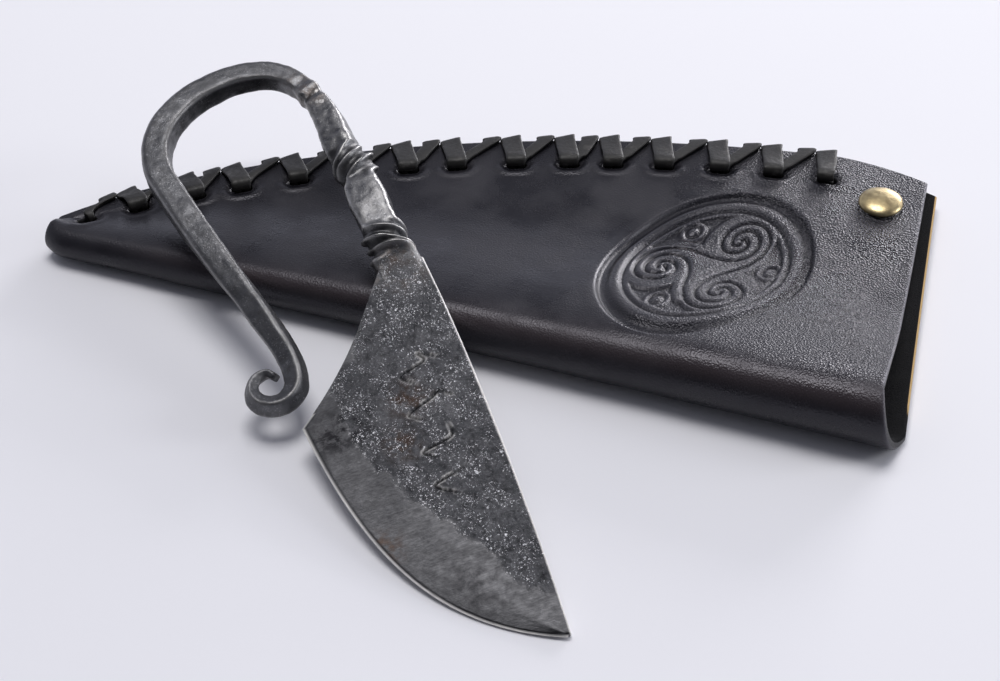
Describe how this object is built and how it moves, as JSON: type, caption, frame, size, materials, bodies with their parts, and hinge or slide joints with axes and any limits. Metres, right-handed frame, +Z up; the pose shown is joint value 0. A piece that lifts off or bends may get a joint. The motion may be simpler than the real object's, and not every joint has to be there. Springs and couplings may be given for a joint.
{
  "type": "forged knife with curled handle and laced leather sheath",
  "caption": "One-piece forged iron knife with a broad wedge blade, twisted shank and hooked scroll handle, leaning on its folded leather sheath with a laced edge and riveted mouth corner.",
  "frame": {"origin": "centre of the bounding box's base, on the table that the sheath and the blade's edge rest on", "axes": "+X along the sheath's fold from its closed tip to its mouth, +Y from the fold to the laced edge, +Z up from the table"},
  "size_m": [0.1852, 0.145, 0.0279],
  "materials": {
    "black_leather": "dyed black, semi-gloss, fine grain, rough suede inside",
    "dark_thong": "dull dark brown-black flat thong",
    "brass": "worn, softly polished",
    "forged_iron": "dark forge scale, pitted, burnished on the ridges and ground at the edge"
  },
  "bodies": {
    "sheath": {"sheath_leather": "black_leather", "lacing_thong": "dark_thong", "rivet_front_cap": "brass", "rivet_back_cap": "brass"},
    "knife": {"knife_forging": "forged_iron"}
  },
  "joints": [
    {"name": "knife_lift", "type": "slide", "parent": "sheath", "child": "knife", "axis": [0, 0, 1], "range_m": [0, 0.12]}
  ]
}
